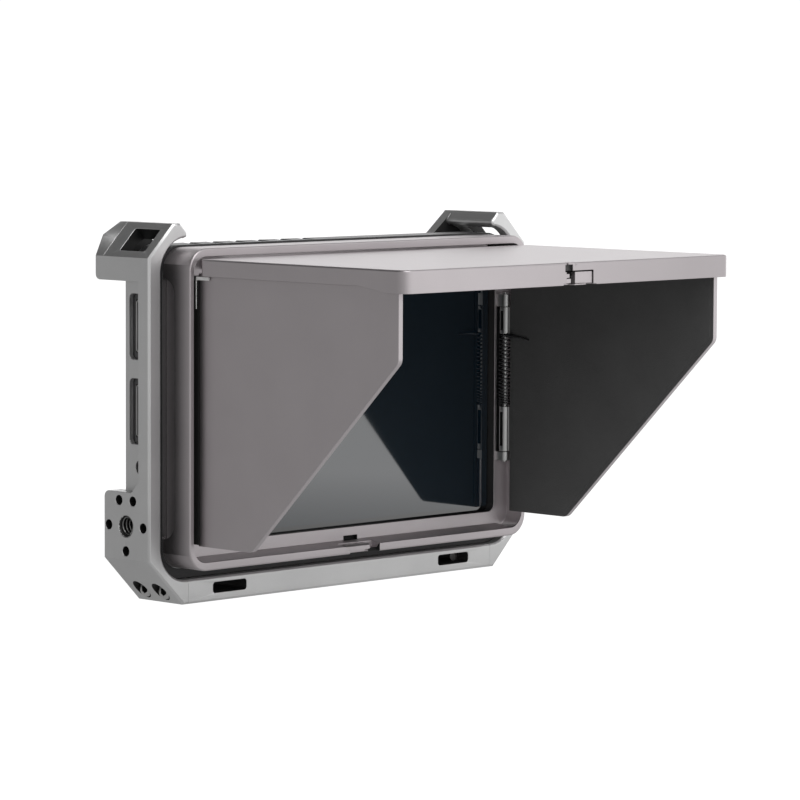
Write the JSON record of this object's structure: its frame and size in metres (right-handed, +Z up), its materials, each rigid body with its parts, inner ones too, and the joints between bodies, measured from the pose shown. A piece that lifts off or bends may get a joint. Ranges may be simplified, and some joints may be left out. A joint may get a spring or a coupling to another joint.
{
  "type": "camera field monitor with sun hood",
  "caption": "Camera field monitor in a milled half cage with a folding sun hood: lid, sprung side panels, screen, side sockets, cooling fan and rear battery plate.",
  "frame": {"origin": "centre of the tripod thread's mouth in the underside of the cage's bottom bar", "axes": "+Z up, -Y towards the viewer of the screen, +X to that viewer's right"},
  "size_m": [0.153, 0.1261, 0.107],
  "materials": {
    "cage": "fine bead-blasted, grey anodised",
    "screw_steel": "satin",
    "pad": "matte",
    "bezel": "matte black",
    "screen_glass": "glossy dark cover glass",
    "display": "dark, unlit",
    "diffuser": "white",
    "flat_cable": "amber film",
    "frame_steel": "stamped sheet",
    "circuit_board": "solder mask",
    "socket_metal": "plated",
    "black_plastic": "fine texture",
    "button": "satin black",
    "heatsink": "black anodised",
    "fan": "satin black",
    "rear_shell": "dark grey anodised",
    "contacts": "gold plated",
    "release": "fine texture",
    "spring_steel": "black oxide",
    "hood": "grey, soft metallic paint",
    "keeper": "light grey",
    "magnet": "nickel plated",
    "pin_steel": "ground",
    "lining": "dark matt lining",
    "catch": "grey, ribbed"
  },
  "bodies": {
    "chassis": {"cage_left_plate": "cage", "cage_right_plate": "cage", "cage_left_block": "cage", "cage_right_block": "cage", "cage_dowels": "pin_steel", "cage_bottom_bar": "cage", "cage_screws": "screw_steel", "tie_screws": "screw_steel", "cage_pads": "pad", "monitor_bezel": "bezel", "screen_glass": "screen_glass", "lcd_panel": "display", "backlight": "diffuser", "display_ribbon": "flat_cable", "mid_frame": "frame_steel", "main_board": "circuit_board", "video_port_upper": "socket_metal", "video_port_lower": "socket_metal", "headphone_jack": "black_plastic", "dc_jack": "black_plastic", "service_port": "socket_metal", "power_switch": "black_plastic", "heatsink": "heatsink", "fan_frame": "black_plastic", "rear_shell": "rear_shell", "rear_screws": "screw_steel", "battery_plate": "black_plastic", "battery_plate_screws": "screw_steel", "battery_contacts": "contacts", "release_spring": "spring_steel", "hood_frame": "hood", "latch_keeper": "keeper", "hood_magnets": "magnet", "hood_gasket": "pad", "left_hinge_pin": "pin_steel", "right_hinge_pin": "pin_steel", "left_panel_spring": "spring_steel", "right_panel_spring": "spring_steel", "lid_hinge_pins": "pin_steel"},
    "lid": {"hood_lid": "hood", "lid_lining": "lining"},
    "catch": {"lid_catch": "catch"},
    "left_leaf": {"left_panel": "hood", "left_panel_lining": "lining", "left_spring_arm": "spring_steel"},
    "right_leaf": {"right_panel": "hood", "right_panel_lining": "lining", "right_spring_arm": "spring_steel"},
    "rotor": {"fan_rotor": "fan"},
    "button": {"power_button": "button"},
    "release": {"battery_release": "release"}
  },
  "joints": [
    {"name": "lid_hinge", "type": "hinge", "parent": "chassis", "child": "lid", "pos_m": [0, -0.0163, 0.0954], "axis": [-1, 0, 0], "range_deg": [0, 20]},
    {"name": "catch_slide", "type": "slide", "parent": "lid", "child": "catch", "axis": [1, 0, 0], "range_m": [0, 0.002], "stiffness_N_per_m": 120, "springref_m": -0.002},
    {"name": "left_panel_hinge", "type": "hinge", "parent": "chassis", "child": "left_leaf", "pos_m": [-0.0636, -0.0153, 0.055], "axis": [0, 0, 1], "range_deg": [0, 90], "stiffness_Nm_per_rad": 0.0012, "springref_deg": -40.11},
    {"name": "right_panel_hinge", "type": "hinge", "parent": "chassis", "child": "right_leaf", "pos_m": [0.0636, -0.0132, 0.055], "axis": [0, 0, -1], "range_deg": [0, 90], "stiffness_Nm_per_rad": 0.0012, "springref_deg": -40.11},
    {"name": "fan_spin", "type": "hinge", "parent": "chassis", "child": "rotor", "pos_m": [0.036, 0.0155, 0.047], "axis": [0, 1, 0], "continuous": true},
    {"name": "power_button_press", "type": "slide", "parent": "chassis", "child": "button", "axis": [-1, 0, 0], "range_m": [0, 0.0007], "stiffness_N_per_m": 400, "springref_m": -0.0005},
    {"name": "battery_release_slide", "type": "slide", "parent": "chassis", "child": "release", "axis": [0, 0, 1], "range_m": [0, 0.0025], "stiffness_N_per_m": 150, "springref_m": -0.002, "deforming": ["release_spring"]}
  ]
}
